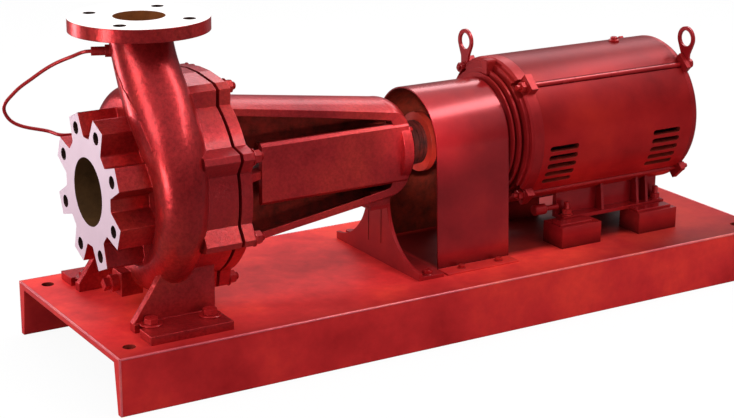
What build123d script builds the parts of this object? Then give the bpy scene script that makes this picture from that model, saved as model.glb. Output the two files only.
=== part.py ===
from build123d import *
from math import sin, cos, radians, pi
import os

os.makedirs("parts", exist_ok=True)

# Frame: millimetres, +Z up, floor at z = 0, shaft axis along +X.
# The suction flange faces -X, the motor stands at the +X end, -Y is the near side.

# Base channel
base_length = 1194.2
base_width = 381.0
base_height = 86.4
base_centre_x = 13.0
web_thickness = 10.2
flange_root = 19.5
flange_toe = 10.5
anchor_hole_d = 19.0
anchor_spacing_x = 1130.3
anchor_spacing_y = 304.8

# Shaft line
shaft_height = 272.4
suction_x = -542.0
base_top = base_height

# Suction nozzle
suction_bore_r = 51.0
suction_pcd = 190.5
suction_hole_r = 9.5
suction_holes = 8
lug_tip_r = 116.0
lug_root_r = 81.0
lug_tip_half = 8.5
lug_root_half = 15.5
nozzle_length = 60.0

# Volute
volute_x = suction_x + 88.9
scroll_start = 20.0
scroll_end = 270.0
scroll_steps = 10
scroll_centre_start = 123.0
scroll_centre_end = 128.0
scroll_r_start = 22.0
scroll_r_end = 38.0
wall = 8.0
front_wall_x = suction_x + nozzle_length
body_r = 147.0
barrel_front_x = suction_x + 112.0
barrel_rear_x = suction_x + 168.0

# Outline shared by the rear ring of the casing and the bracket flange
ring_r = 149.0
boss_tip_r = 169.0
boss_root_half = 7.75
boss_tip_half = 1.7
ring_bosses = 8
pad_mid_y = 17.5
pad_mid_z = 161.7
pad_shoulder_y = 69.4
pad_shoulder_z = 155.6
pad_end_y = 83.1
pad_end_z = 148.6
pad_root_deg = 33.5

# Discharge flange
discharge_z = shaft_height + 250.0
discharge_r = 103.0
discharge_thickness = 19.5
discharge_pcd = 152.4
discharge_hole_r = 9.5
discharge_bore_r = 38.1
neck_r = 46.0
neck_steps = 7

# Impeller chamber and rear opening
chamber_r = 92.0
chamber_front_x = suction_x + 68.0
cover_bore_r = 104.0
cover_face_x = suction_x + 118.0

# Tapped bosses for the vent tube and the drain
tap_boss_r = 9.0
neck_tap_height = 200.0
neck_tap_turn = 22.5
neck_tap_reach = 50.0
wall_tap_x = suction_x + 50.0
wall_tap_y = 112.0
wall_tap_z = 57.0
drain_x = suction_x + 40.0
drain_z = -145.0
fitting_r = 6.5
fitting_length = 20.0
tube_r = 2.7

# Feet of the casing
foot_pad_x0 = suction_x + 18.0
foot_pad_x1 = suction_x + 148.0
foot_pad_y0 = 94.0
foot_pad_y1 = 166.0
foot_pad_t = 13.0
foot_web_t = 12.0
foot_slot_x = suction_x + 40.0
foot_slot_y = 118.0
foot_slot_w = 18.0

# Bearing bracket
bracket_x0 = suction_x + 173.0
bracket_x1 = suction_x + 191.0
spacer_r = 130.0
window_r = 62.0
arm_web_t = 12.0
cap_half = 47.0
cap_t = 10.0
cap_front_r = 120.2
cap_rear_r = 82.0
cap_rear_x = suction_x + 487.0
dome_mid_x = suction_x + 508.0
dome_mid_r = 76.0
side_cap_y = 50.0
side_cap_half = 48.0
side_cap_bevel = 5.0
side_cap_x0 = suction_x + 258.0
side_cap_x1 = suction_x + 518.0
housing_r = 40.0
housing_x0 = suction_x + 270.0
housing_x1 = suction_x + 504.0
housing_flange_r = 62.0
housing_end_x = suction_x + 521.0
bearing_cover_r = 50.0
bearing_cover_end_x = suction_x + 531.0

# Rotor
shaft_r = 19.0
running_gap = 0.05
impeller_r = 86.0
impeller_bore_r = 12.0
vane_count = 6
coupling_disc_r = 48.0
coupling_disc_t = 10.0
coupling_hub_r = 35.0
coupling_groove_r = 32.0
coupling_half_length = 33.0
pump_disc_x = suction_x + 573.0
motor_disc_x = suction_x + 620.0
sleeve_r = 40.0

# Guard
guard_x0 = suction_x + 545.0
guard_x1 = suction_x + 681.0
guard_r = 88.0
guard_foot_y = 96.0
guard_flange_y = 127.0
guard_t = 2.5

# Support foot
support_x = suction_x + 491.0
support_t = 6.0
support_half_base = 127.0
support_half_top = 30.0
support_top = shaft_height - 86.0

# Motor
shell_x0 = suction_x + 728.0
shell_x1 = suction_x + 1035.0
shell_r = 122.0
shell_t = 10.0
front_rim_x = suction_x + 706.0
front_hub_x = suction_x + 660.0
ear_t = 13.0
rear_ear_t = 9.0
ear_w = 30.0
ear_h = 44.0
ear_centre_r = 112.0
pocket_centre_r = 129.0
rod_r = 4.0
rod_centre_r = 122.0
rod_angle = 43.0
rod_angles = (rod_angle, 180 - rod_angle, 180 + rod_angle, 360 - rod_angle)
rod_reach = 17.0
eye_t = 4.0
eye_reach = 44.0
stator_inner_r = 75.0
rotor_r = 69.0
core_x0 = suction_x + 800.0
core_x1 = suction_x + 940.0
motor_end_x = suction_x + 1075.0
slot_length = 57.0
slot_width = 9.0
slot_pitch_deg = 7.2
slot_first_deg = 94.7
slot_count = 5

# Motor feet and blocks
block_h = 36.0
block_x = 80.0
block_y = 52.0
block_y0 = 60.0
block_front_x = suction_x + 779.0
block_rear_x = suction_x + 940.0
rail_t = 6.0

shaft_axis = Axis((0, 0, shaft_height), (1, 0, 0))
side_plane = Plane(origin=(0, 0, shaft_height), x_dir=(1, 0, 0), z_dir=(0, -1, 0))


def across(x):
    return Plane(origin=(x, 0, shaft_height), x_dir=(0, 1, 0), z_dir=(1, 0, 0))


def polar(radius, degrees):
    # Angle from the top toward the near side, in a plane across the shaft
    return (-radius * sin(radians(degrees)), radius * cos(radians(degrees)))


def save(node, label):
    node.part.label = label
    export_step(node.part, "parts/" + label + ".step")


# Base: channel laid flat with its flanges down
half_w = base_width / 2
with BuildPart() as baseplate:
    with BuildSketch(Plane.YZ.offset(base_centre_x - base_length / 2)):
        with BuildLine():
            Polyline(
                (-half_w, base_height),
                (half_w, base_height),
                (half_w, 0),
                (half_w - flange_toe, 0),
                (half_w - flange_root, base_height - web_thickness),
                (-half_w + flange_root, base_height - web_thickness),
                (-half_w + flange_toe, 0),
                (-half_w, 0),
                close=True,
            )
        make_face()
    extrude(amount=base_length)
    with Locations((base_centre_x, 0, base_height - web_thickness)):
        with GridLocations(anchor_spacing_x, anchor_spacing_y, 2, 2):
            Hole(anchor_hole_d / 2, depth=3 * web_thickness)
save(baseplate, "baseplate")


# Volute casing
def scroll_plane(phi, centre_r):
    y = centre_r * sin(radians(phi))
    z = centre_r * cos(radians(phi))
    return Plane(
        origin=(volute_x, y, shaft_height + z),
        x_dir=(1, 0, 0),
        z_dir=(0, cos(radians(phi)), -sin(radians(phi))),
    )


neck_start = (-scroll_centre_end, 0.0)
neck_pull_1 = (-scroll_centre_end, 100.0)
neck_pull_2 = (-30.0, 120.0)
neck_end = (0.0, 250.0 - discharge_thickness)


def neck_point(t):
    a = (1 - t) ** 3
    b = 3 * t * (1 - t) ** 2
    c = 3 * t * t * (1 - t)
    d = t ** 3
    y = a * neck_start[0] + b * neck_pull_1[0] + c * neck_pull_2[0] + d * neck_end[0]
    z = a * neck_start[1] + b * neck_pull_1[1] + c * neck_pull_2[1] + d * neck_end[1]
    return y, z


def neck_plane(t):
    y, z = neck_point(t)
    y0, z0 = neck_point(t - 0.01)
    y1, z1 = neck_point(t + 0.01)
    direction = (0, y1 - y0, z1 - z0)
    if t > 0.99:
        direction = (0, 0, 1)
    return Plane(origin=(volute_x, y, shaft_height + z), x_dir=(1, 0, 0), z_dir=direction)


neck_tap = Plane(
    origin=(volute_x, 0, shaft_height + neck_tap_height),
    z_dir=(-cos(radians(neck_tap_turn)), sin(radians(neck_tap_turn)), 0),
)


def passage(inset):
    with BuildPart() as tube:
        for i in range(scroll_steps):
            f = i / (scroll_steps - 1)
            phi = scroll_start + (scroll_end - scroll_start) * f
            centre_r = scroll_centre_start + (scroll_centre_end - scroll_centre_start) * f
            r = scroll_r_start + (scroll_r_end - scroll_r_start) * f
            with BuildSketch(scroll_plane(phi, centre_r)):
                Circle(r - inset)
        for i in range(1, neck_steps):
            t = i / (neck_steps - 1)
            r = scroll_r_end + (neck_r - scroll_r_end) * t + 6.0 * sin(pi * t) ** 2
            with BuildSketch(neck_plane(t)):
                Circle(r - inset)
        loft()
    return tube.part


def ring_body(x0, x1):
    # Round body with eight bosses, the two top ones joined by a flat pad
    with BuildPart() as ring:
        with BuildSketch(across(x0)):
            with BuildLine():
                Polyline(
                    polar(ring_r, pad_root_deg),
                    (-pad_end_y, pad_end_z),
                    (-pad_shoulder_y, pad_shoulder_z),
                    (-pad_mid_y, pad_mid_z),
                    (pad_mid_y, pad_mid_z),
                    (pad_shoulder_y, pad_shoulder_z),
                    (pad_end_y, pad_end_z),
                    polar(ring_r, -pad_root_deg),
                )
                start = pad_root_deg
                for k in range(1, ring_bosses - 1):
                    c = 22.5 + 45 * k
                    end = c - boss_root_half
                    ThreePointArc(polar(ring_r, start), polar(ring_r, (start + end) / 2), polar(ring_r, end))
                    start = c + boss_root_half
                    Polyline(
                        polar(ring_r, end),
                        polar(boss_tip_r, c - boss_tip_half),
                        polar(boss_tip_r, c + boss_tip_half),
                        polar(ring_r, start),
                    )
                end = 360 - pad_root_deg
                ThreePointArc(polar(ring_r, start), polar(ring_r, (start + end) / 2), polar(ring_r, end))
            make_face()
        extrude(amount=x1 - x0)
    return ring.part


tube_outer = passage(0.0)
tube_inner = passage(wall - 0.1)

with BuildPart() as pump_casing:
    # Body of revolution: front wall, rounded rim, rear barrel
    with BuildSketch(side_plane) as body_profile:
        with BuildLine():
            Polyline(
                (suction_x + 20, 0),
                (suction_x + 20, 78),
                (front_wall_x, 78),
                (front_wall_x, body_r),
                (barrel_rear_x, body_r),
                (barrel_rear_x, 0),
                close=True,
            )
        make_face()
        rim = body_profile.vertices().sort_by_distance((front_wall_x, body_r, 0))[0]
        fillet(rim, 24)
    revolve(axis=shaft_axis)
    add(tube_outer)
    # Star suction nozzle
    with BuildSketch(across(suction_x)) as star:
        with BuildLine():
            corners = []
            for k in range(suction_holes):
                c = 22.5 + 45 * k
                corners.append(polar(lug_root_r, c - lug_root_half))
                corners.append(polar(lug_tip_r, c - lug_tip_half))
                corners.append(polar(lug_tip_r, c + lug_tip_half))
                corners.append(polar(lug_root_r, c + lug_root_half))
            Polyline(*corners, close=True)
        make_face()
        roots = [v for v in star.vertices() if Vector(v).length < 0.5 * (lug_tip_r + lug_root_r)]
        fillet(roots, 5)
    extrude(amount=nozzle_length + 4)
    # Discharge flange and the short straight neck below it
    with BuildSketch(Plane.XY.offset(discharge_z - discharge_thickness)):
        with Locations((volute_x, 0)):
            Circle(discharge_r)
    extrude(amount=discharge_thickness)
    add(ring_body(barrel_front_x, barrel_rear_x))
    # Feet: outer pads with a slanted web up to the volute
    for side in (-1, 1):
        with BuildSketch(Plane.XY.offset(base_top)):
            with Locations(((foot_pad_x0 + foot_pad_x1) / 2, side * (foot_pad_y0 + foot_pad_y1) / 2)):
                Rectangle(foot_pad_x1 - foot_pad_x0, foot_pad_y1 - foot_pad_y0)
        extrude(amount=foot_pad_t)
        foot_plane = Plane(
            origin=(0, side * (foot_pad_y0 + foot_web_t / 2), base_top), x_dir=(1, 0, 0), z_dir=(0, -1, 0)
        )
        with BuildSketch(foot_plane):
            with BuildLine():
                Polyline(
                    (foot_pad_x0, 0),
                    (foot_pad_x1, 0),
                    (foot_pad_x1, 90),
                    (foot_pad_x0 + 50, 90),
                    (foot_pad_x0 + 34, 62),
                    (foot_pad_x0, foot_pad_t),
                    close=True,
                )
            make_face()
        extrude(amount=foot_web_t / 2, both=True)
        with BuildSketch(Plane.XY.offset(base_top)):
            with Locations((foot_slot_x - foot_slot_w, side * foot_slot_y)):
                Rectangle(2 * foot_slot_w, foot_slot_w)
            with Locations((foot_slot_x, side * foot_slot_y)):
                Circle(foot_slot_w / 2)
        extrude(amount=foot_pad_t, mode=Mode.SUBTRACT)
    # Tapped bosses: neck, front wall and drain
    with BuildSketch(neck_tap):
        Circle(tap_boss_r)
    extrude(amount=neck_tap_reach)
    with BuildSketch(across(wall_tap_x)):
        with Locations((wall_tap_y, wall_tap_z)):
            Circle(tap_boss_r)
    extrude(amount=18)
    with BuildSketch(across(drain_x)):
        with Locations((0, drain_z)):
            Rectangle(33, 36)
    extrude(amount=34)
    # Hollow inside: scroll and neck passage, suction bore, impeller chamber, rear opening
    add(tube_inner, mode=Mode.SUBTRACT)
    with BuildSketch(side_plane):
        with BuildLine():
            Polyline(
                (suction_x - 5, 0),
                (suction_x - 5, suction_bore_r),
                (chamber_front_x, suction_bore_r),
                (chamber_front_x, chamber_r),
                (volute_x - 12, chamber_r),
                (volute_x - 12, 118),
                (volute_x + 12, 118),
                (volute_x + 12, cover_bore_r),
                (barrel_rear_x + 5, cover_bore_r),
                (barrel_rear_x + 5, 0),
                close=True,
            )
        make_face()
    revolve(axis=shaft_axis, mode=Mode.SUBTRACT)
    with BuildSketch(Plane.XY.offset(discharge_z + 1)):
        with Locations((volute_x, 0)):
            Circle(discharge_bore_r)
    extrude(amount=-(discharge_thickness + 6), mode=Mode.SUBTRACT)
    # Bolt holes in both flanges
    with BuildSketch(across(suction_x)):
        with PolarLocations(suction_pcd / 2, suction_holes, start_angle=22.5):
            Circle(suction_hole_r)
    extrude(amount=28, mode=Mode.SUBTRACT)
    with BuildSketch(Plane.XY.offset(discharge_z)):
        with Locations((volute_x, 0)):
            with PolarLocations(discharge_pcd / 2, 4, start_angle=45):
                Circle(discharge_hole_r)
    extrude(amount=-discharge_thickness - 1, mode=Mode.SUBTRACT)
save(pump_casing, "pump_casing")


# Casing cover: back plate with a spigot in the casing and a neck for the shaft
with BuildPart() as casing_cover:
    with BuildSketch(side_plane):
        with BuildLine():
            Polyline(
                (cover_face_x, shaft_r + 5),
                (cover_face_x, cover_bore_r - 0.2),
                (barrel_rear_x, cover_bore_r - 0.2),
                (barrel_rear_x, spacer_r),
                (bracket_x0, spacer_r),
                (bracket_x0, 58),
                (bracket_x1 - 4, 58),
                (bracket_x1 - 4, shaft_r + 5),
                close=True,
            )
        make_face()
    revolve(axis=shaft_axis)
save(casing_cover, "casing_cover")


# Bearing bracket: flange with bosses, four capped arms, bearing housing
def arm_caps():
    # Top and bottom caps: strips of one cone about the shaft that ends in a dome
    with BuildPart() as caps:
        with BuildSketch(side_plane):
            with BuildLine():
                Line((bracket_x1, cap_front_r), (cap_rear_x, cap_rear_r))
                ThreePointArc(
                    (cap_rear_x, cap_rear_r), (dome_mid_x, dome_mid_r), (housing_end_x, housing_flange_r)
                )
                Polyline(
                    (housing_end_x, housing_flange_r),
                    (housing_end_x, housing_r),
                    (housing_x1, housing_r),
                    (cap_rear_x, cap_rear_r - cap_t),
                    (bracket_x1, cap_front_r - cap_t),
                    (bracket_x1, cap_front_r),
                )
            make_face()
        revolve(axis=shaft_axis)
        with Locations(((bracket_x1 + housing_end_x) / 2, 0, shaft_height)):
            Box(2 * (housing_end_x - bracket_x1), 2 * cap_half, 3 * cap_front_r, mode=Mode.INTERSECT)
    return caps.part


with BuildPart() as bearing_bracket:
    add(ring_body(bracket_x0, bracket_x1))
    with BuildSketch(across(bracket_x0)):
        Circle(window_r)
    extrude(amount=bracket_x1 - bracket_x0, mode=Mode.SUBTRACT)
    with BuildSketch(side_plane):
        with BuildLine():
            Polyline(
                (housing_x0, 0),
                (housing_x0, housing_r),
                (housing_x1, housing_r),
                (housing_x1, housing_flange_r),
                (housing_end_x, housing_flange_r),
                (housing_end_x, 0),
                close=True,
            )
        make_face()
    revolve(axis=shaft_axis)
    add(arm_caps())
    for side in (-1, 1):
        # Upright webs between the housing and the top and bottom caps
        with BuildSketch(side_plane):
            with BuildLine():
                Polyline(
                    (bracket_x1, side * window_r),
                    (bracket_x1, side * (cap_front_r - cap_t / 2)),
                    (cap_rear_x, side * (cap_rear_r - cap_t / 2)),
                    (housing_x1, side * housing_flange_r),
                    (housing_x1, side * housing_r / 2),
                    (housing_x0, side * housing_r / 2),
                    close=True,
                )
            make_face()
        extrude(amount=arm_web_t / 2, both=True)
        # Level webs and the side caps
        with BuildSketch(Plane.XY.offset(shaft_height)):
            with BuildLine():
                Polyline(
                    (bracket_x1, side * window_r),
                    (bracket_x1, side * (window_r + 20)),
                    (side_cap_x0, side * (side_cap_y - 2)),
                    (side_cap_x1, side * (side_cap_y - 2)),
                    (side_cap_x1, side * housing_r / 2),
                    (housing_x0, side * housing_r / 2),
                    close=True,
                )
            make_face()
        extrude(amount=arm_web_t / 2, both=True)
        with BuildSketch(across(side_cap_x0)):
            with BuildLine():
                Polyline(
                    (side * (side_cap_y - cap_t), -side_cap_half),
                    (side * (side_cap_y - side_cap_bevel), -side_cap_half),
                    (side * side_cap_y, -side_cap_half + side_cap_bevel),
                    (side * side_cap_y, side_cap_half - side_cap_bevel),
                    (side * (side_cap_y - side_cap_bevel), side_cap_half),
                    (side * (side_cap_y - cap_t), side_cap_half),
                    close=True,
                )
            make_face()
        extrude(amount=side_cap_x1 - side_cap_x0)
    # Flat pad that rests on the support foot
    with BuildSketch(Plane.XY.offset(support_top)):
        with Locations((support_x - 12, 0)):
            Rectangle(36, 2 * support_half_top)
    extrude(amount=24)
    # Bore: running lands at both ends, relieved between
    with BuildSketch(across(housing_x0)):
        Circle(shaft_r + running_gap)
    extrude(amount=housing_end_x - housing_x0, mode=Mode.SUBTRACT)
    with BuildSketch(across(housing_x0 + 40)):
        Circle(shaft_r + 8)
    extrude(amount=housing_x1 - housing_x0 - 70, mode=Mode.SUBTRACT)
save(bearing_bracket, "bearing_bracket")


with BuildPart() as bearing_cover:
    with BuildSketch(side_plane):
        with BuildLine():
            Polyline(
                (housing_end_x, shaft_r + 2),
                (housing_end_x, bearing_cover_r),
                (bearing_cover_end_x - 4, bearing_cover_r),
                (bearing_cover_end_x, bearing_cover_r - 6),
                (bearing_cover_end_x, shaft_r + 2),
                close=True,
            )
        make_face()
    revolve(axis=shaft_axis)
save(bearing_cover, "bearing_cover")


# Support foot: folded plate, flared toward the base, foot flange turned to the motor side
with BuildPart() as support_foot:
    with BuildSketch(Plane(origin=(support_x, 0, base_top), x_dir=(0, 1, 0), z_dir=(1, 0, 0))):
        with BuildLine():
            Line((-support_half_base, 0), (support_half_base, 0))
            Line((support_half_base, 0), (support_half_base, 12))
            ThreePointArc(
                (support_half_base, 12), (support_half_top + 32, 38), (support_half_top, support_top - base_top)
            )
            Line((support_half_top, support_top - base_top), (-support_half_top, support_top - base_top))
            ThreePointArc(
                (-support_half_top, support_top - base_top), (-support_half_top - 32, 38), (-support_half_base, 12)
            )
            Line((-support_half_base, 12), (-support_half_base, 0))
        make_face()
    extrude(amount=support_t)
    with BuildSketch(Plane.XY.offset(base_top)):
        with Locations((support_x + 23, 0)):
            Rectangle(46, 2 * support_half_base)
    extrude(amount=support_t)
    with BuildSketch(Plane.XY.offset(support_top - support_t)):
        with Locations((support_x - 12, 0)):
            Rectangle(36, 2 * support_half_top)
    extrude(amount=support_t)
save(support_foot, "support_foot")


# Coupling guard: inverted U with two foot flanges
guard_drop = shaft_height - base_top
with BuildPart() as coupling_guard:
    with BuildSketch(across(guard_x0)):
        with BuildLine():
            Line((-guard_foot_y, -guard_drop), (-guard_r, 0))
            ThreePointArc((-guard_r, 0), (0, guard_r), (guard_r, 0))
            Line((guard_r, 0), (guard_foot_y, -guard_drop))
            Line((guard_foot_y, -guard_drop), (guard_flange_y, -guard_drop))
            Line((guard_flange_y, -guard_drop), (guard_flange_y, -guard_drop + guard_t))
            Line((guard_flange_y, -guard_drop + guard_t), (guard_foot_y + guard_t, -guard_drop + guard_t))
            Line((guard_foot_y + guard_t, -guard_drop + guard_t), (guard_r + guard_t, 0))
            ThreePointArc((guard_r + guard_t, 0), (0, guard_r + guard_t), (-guard_r - guard_t, 0))
            Line((-guard_r - guard_t, 0), (-guard_foot_y - guard_t, -guard_drop + guard_t))
            Line((-guard_foot_y - guard_t, -guard_drop + guard_t), (-guard_flange_y, -guard_drop + guard_t))
            Line((-guard_flange_y, -guard_drop + guard_t), (-guard_flange_y, -guard_drop))
            Line((-guard_flange_y, -guard_drop), (-guard_foot_y, -guard_drop))
        make_face()
    extrude(amount=guard_x1 - guard_x0)
save(coupling_guard, "coupling_guard")


# Motor shell: thick tube with tie-rod grooves and louvre slots on both sides
with BuildPart() as motor_shell:
    with BuildSketch(across(shell_x0)):
        Circle(shell_r)
        Circle(shell_r - shell_t, mode=Mode.SUBTRACT)
        for c in rod_angles:
            with Locations(Location((*polar(shell_r, c), 0), (0, 0, c))):
                Rectangle(11, 2 * (shell_r - rod_centre_r + rod_r + 0.1), mode=Mode.SUBTRACT)
    extrude(amount=shell_x1 - shell_x0)
    for side in (-1, 1):
        for x0 in (suction_x + 741, suction_x + 953):
            for k in range(slot_count):
                c = side * (slot_first_deg + slot_pitch_deg * k)
                y, z = polar(shell_r, c)
                slot_plane = Plane(
                    origin=(x0 + slot_length / 2, y, shaft_height + z),
                    x_dir=(1, 0, 0),
                    z_dir=(0, y, z),
                )
                with BuildSketch(slot_plane):
                    SlotOverall(slot_length, slot_width)
                extrude(amount=-shell_t - 3, mode=Mode.SUBTRACT)
save(motor_shell, "motor_shell")


# Front end bell: stepped rings down to the bearing hub, ears for the tie rods
with BuildPart() as motor_front_bell:
    with BuildSketch(side_plane):
        with BuildLine():
            Polyline(
                (shell_x0, 0),
                (shell_x0, shell_r),
                (front_rim_x + 3, shell_r),
                (front_rim_x, shell_r - 3),
                (front_rim_x, 114),
                (front_rim_x - 5, 114),
                (front_rim_x - 5, 98),
                (front_rim_x - 10, 98),
                (front_rim_x - 10, 105),
                (front_rim_x - 14, 105),
                (front_rim_x - 14, 90),
                (front_rim_x - 18, 90),
                (front_rim_x - 18, 98),
                (front_rim_x - 21, 98),
                (front_rim_x - 21, 80),
                (front_rim_x - 34, 74),
                (front_hub_x + 8, 45),
                (front_hub_x, 42),
                (front_hub_x, 0),
                close=True,
            )
        make_face()
    revolve(axis=shaft_axis)
    with BuildSketch(across(front_rim_x - 6)):
        for c in rod_angles:
            with Locations(Location((*polar(pocket_centre_r, c), 0), (0, 0, c))):
                Rectangle(ear_w, ear_h)
    extrude(amount=shell_x0 - ear_t - front_rim_x + 6, mode=Mode.SUBTRACT)
    with BuildSketch(across(shell_x0 - ear_t)):
        for c in rod_angles:
            with Locations(Location((*polar(ear_centre_r, c), 0), (0, 0, c))):
                Rectangle(ear_w, ear_h)
    extrude(amount=ear_t)
    with BuildSketch(across(shell_x0 - ear_t)):
        for c in rod_angles:
            with Locations(polar(rod_centre_r, c)):
                Circle(rod_r)
    extrude(amount=ear_t, mode=Mode.SUBTRACT)
    with BuildSketch(across(front_hub_x)):
        Circle(shaft_r + running_gap)
    extrude(amount=shell_x0 - front_hub_x, mode=Mode.SUBTRACT)
    with BuildSketch(side_plane):
        with BuildLine():
            Polyline(
                (shell_x0, 50),
                (shell_x0, 100),
                (front_rim_x + 6, 98),
                (front_rim_x - 4, 88),
                (front_rim_x - 16, 80),
                (front_rim_x - 26, 66),
                (front_rim_x - 30, 50),
                close=True,
            )
        make_face()
    revolve(axis=shaft_axis, mode=Mode.SUBTRACT)
save(motor_front_bell, "motor_front_bell")


# Rear end bell: domed cap
rear_rim_x = shell_x1 + rear_ear_t
with BuildPart() as motor_rear_bell:
    with BuildSketch(side_plane):
        with BuildLine():
            Polyline(
                (shell_x1, 0),
                (shell_x1, shell_r),
                (rear_rim_x - 2, shell_r),
                (rear_rim_x + 3, shell_r - 3),
                (rear_rim_x + 6, 112),
                (rear_rim_x + 8, 101),
                (motor_end_x - 6, 92),
                (motor_end_x, 60),
                (motor_end_x, 0),
                close=True,
            )
        make_face()
    revolve(axis=shaft_axis)
    with BuildSketch(across(rear_rim_x)):
        for c in rod_angles:
            with Locations(Location((*polar(pocket_centre_r, c), 0), (0, 0, c))):
                Rectangle(ear_w, ear_h)
    extrude(amount=20, mode=Mode.SUBTRACT)
    with BuildSketch(across(shell_x1)):
        for c in rod_angles:
            with Locations(Location((*polar(ear_centre_r, c), 0), (0, 0, c))):
                Rectangle(ear_w, ear_h)
    extrude(amount=rear_ear_t)
    with BuildSketch(across(shell_x1)):
        for c in rod_angles:
            with Locations(polar(rod_centre_r, c)):
                Circle(rod_r)
    extrude(amount=rear_ear_t, mode=Mode.SUBTRACT)
    with BuildSketch(side_plane):
        with BuildLine():
            Polyline(
                (shell_x1, 50),
                (shell_x1, 100),
                (shell_x1 + 6, 94),
                (motor_end_x - 14, 84),
                (motor_end_x - 8, 60),
                (motor_end_x - 8, 50),
                close=True,
            )
        make_face()
    revolve(axis=shaft_axis, mode=Mode.SUBTRACT)
    with BuildSketch(across(shell_x1)):
        Circle(shaft_r + running_gap)
    extrude(amount=motor_end_x - 8 - shell_x1, mode=Mode.SUBTRACT)
save(motor_rear_bell, "motor_rear_bell")


with BuildPart() as stator_core:
    with BuildSketch(across(core_x0)):
        Circle(shell_r - shell_t)
        Circle(stator_inner_r, mode=Mode.SUBTRACT)
    extrude(amount=core_x1 - core_x0)
save(stator_core, "stator_core")


# Tie rods in the shell grooves
rod_names = ["tie_rod_1", "tie_rod_2", "tie_rod_3", "tie_rod_4"]
rod_x0 = shell_x0 - ear_t - rod_reach
rod_x1 = rear_rim_x + rod_reach
for k in range(4):
    with BuildPart() as tie_rod:
        with BuildSketch(across(rod_x0)):
            with Locations(polar(rod_centre_r, rod_angles[k])):
                Circle(rod_r)
        extrude(amount=rod_x1 - rod_x0)
    save(tie_rod, rod_names[k])


# Lifting eyes: flat teardrop plates hung on the tie-rod ends
def lifting_eye(x, angle):
    y, z = polar(rod_centre_r, angle)
    with BuildPart() as eye:
        with BuildSketch(Plane(origin=(x, y, shaft_height + z), x_dir=(0, 1, 0), z_dir=(1, 0, 0))):
            Circle(9)
            with BuildLine():
                Polyline((-9, 0), (9, 0), (10, 18), (17.5, eye_reach - 10), (-17.5, eye_reach - 10), (-10, 18), close=True)
            make_face()
            with Locations((0, eye_reach)):
                Circle(20)
            with Locations((0, eye_reach)):
                Circle(13.5, mode=Mode.SUBTRACT)
            Circle(rod_r, mode=Mode.SUBTRACT)
        extrude(amount=eye_t)
    return eye


lifting_eye_front = lifting_eye(shell_x0 - ear_t - eye_t, -rod_angle)
save(lifting_eye_front, "lifting_eye_front")
lifting_eye_rear = lifting_eye(rear_rim_x, rod_angle)
save(lifting_eye_rear, "lifting_eye_rear")


# Spacer blocks and motor foot rails
block_top = base_top + block_h
block_names = ["block_near_front", "block_near_rear", "block_far_front", "block_far_rear"]
n = 0
for side in (-1, 1):
    for x0 in (block_front_x, block_rear_x):
        with BuildPart() as block:
            with Locations((x0 + block_x / 2, side * (block_y0 + block_y / 2), base_top + block_h / 2)):
                Box(block_x, block_y, block_h)
        save(block, block_names[n])
        n += 1

# Rails: low flange on the blocks, upright web to the shell, small gussets
rail_names = ["foot_rail_near", "foot_rail_far"]
rail_x0 = suction_x + 805.0
rail_x1 = suction_x + 1018.0
rail_inner_y = 48.0
rail_web_y = 57.0
rail_outer_y = 80.0
gusset_spots = [suction_x + 888.0, suction_x + 963.0, suction_x + 983.0]
for i, side in enumerate((-1, 1)):
    with BuildPart() as rail:
        with BuildSketch(Plane.YZ.offset(rail_x0)):
            with BuildLine():
                Polyline(
                    (side * rail_inner_y, block_top),
                    (side * rail_outer_y, block_top),
                    (side * rail_outer_y, block_top + rail_t),
                    (side * rail_web_y, block_top + rail_t),
                    (side * rail_web_y, shaft_height - 90),
                    (side * rail_inner_y, shaft_height - 90),
                    close=True,
                )
            make_face()
        extrude(amount=rail_x1 - rail_x0)
        for gusset_x in gusset_spots:
            with BuildSketch(Plane.YZ.offset(gusset_x)):
                with BuildLine():
                    Polyline(
                        (side * rail_inner_y, block_top),
                        (side * (rail_outer_y - 4), block_top),
                        (side * (rail_web_y + 12), shaft_height - 95),
                        (side * rail_inner_y, shaft_height - 95),
                        close=True,
                    )
                make_face()
            extrude(amount=5)
        with BuildSketch(across(rail_x0 - 1)):
            Circle(shell_r)
        extrude(amount=rail_x1 - rail_x0 + 2, mode=Mode.SUBTRACT)
    save(rail, rail_names[i])


# Terminal box on the far side
with BuildPart() as terminal_box:
    with Locations((suction_x + 870, shell_r + 26, shaft_height + 10)):
        Box(120, 60, 110)
    with BuildSketch(across(suction_x + 800)):
        Circle(shell_r)
    extrude(amount=140, mode=Mode.SUBTRACT)
save(terminal_box, "terminal_box")


# Vent tube and its two fittings
tube_start = neck_tap.from_local_coords((0, 0, neck_tap_reach + fitting_length))
tube_end = Vector(wall_tap_x - fitting_length, wall_tap_y, shaft_height + wall_tap_z)
with BuildPart() as vent_tube:
    with BuildLine() as route:
        Spline(
            tube_start,
            (suction_x + 8.0, 47.0, shaft_height + 192.0),
            (suction_x - 8.5, 66.0, shaft_height + 181.0),
            (suction_x - 25.0, 86.0, shaft_height + 166.4),
            (suction_x - 39.6, 106.0, shaft_height + 149.2),
            (suction_x - 50.5, 123.0, shaft_height + 135.0),
            (suction_x - 58.5, 137.0, shaft_height + 120.8),
            (suction_x - 64.0, 147.0, shaft_height + 108.8),
            (suction_x - 65.1, 152.0, shaft_height + 99.0),
            (suction_x - 62.1, 153.0, shaft_height + 89.2),
            (suction_x - 55.3, 151.5, shaft_height + 79.6),
            (suction_x - 44.0, 147.0, shaft_height + 72.3),
            (suction_x - 27.5, 141.0, shaft_height + 67.0),
            (suction_x - 4.0, 129.0, shaft_height + 61.6),
            tube_end,
            tangents=(neck_tap.z_dir, (1, 0, 0)),
        )
    with BuildSketch(Plane(origin=route.line @ 0, z_dir=route.line % 0)):
        Circle(tube_r)
    sweep()
save(vent_tube, "vent_tube")

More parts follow.
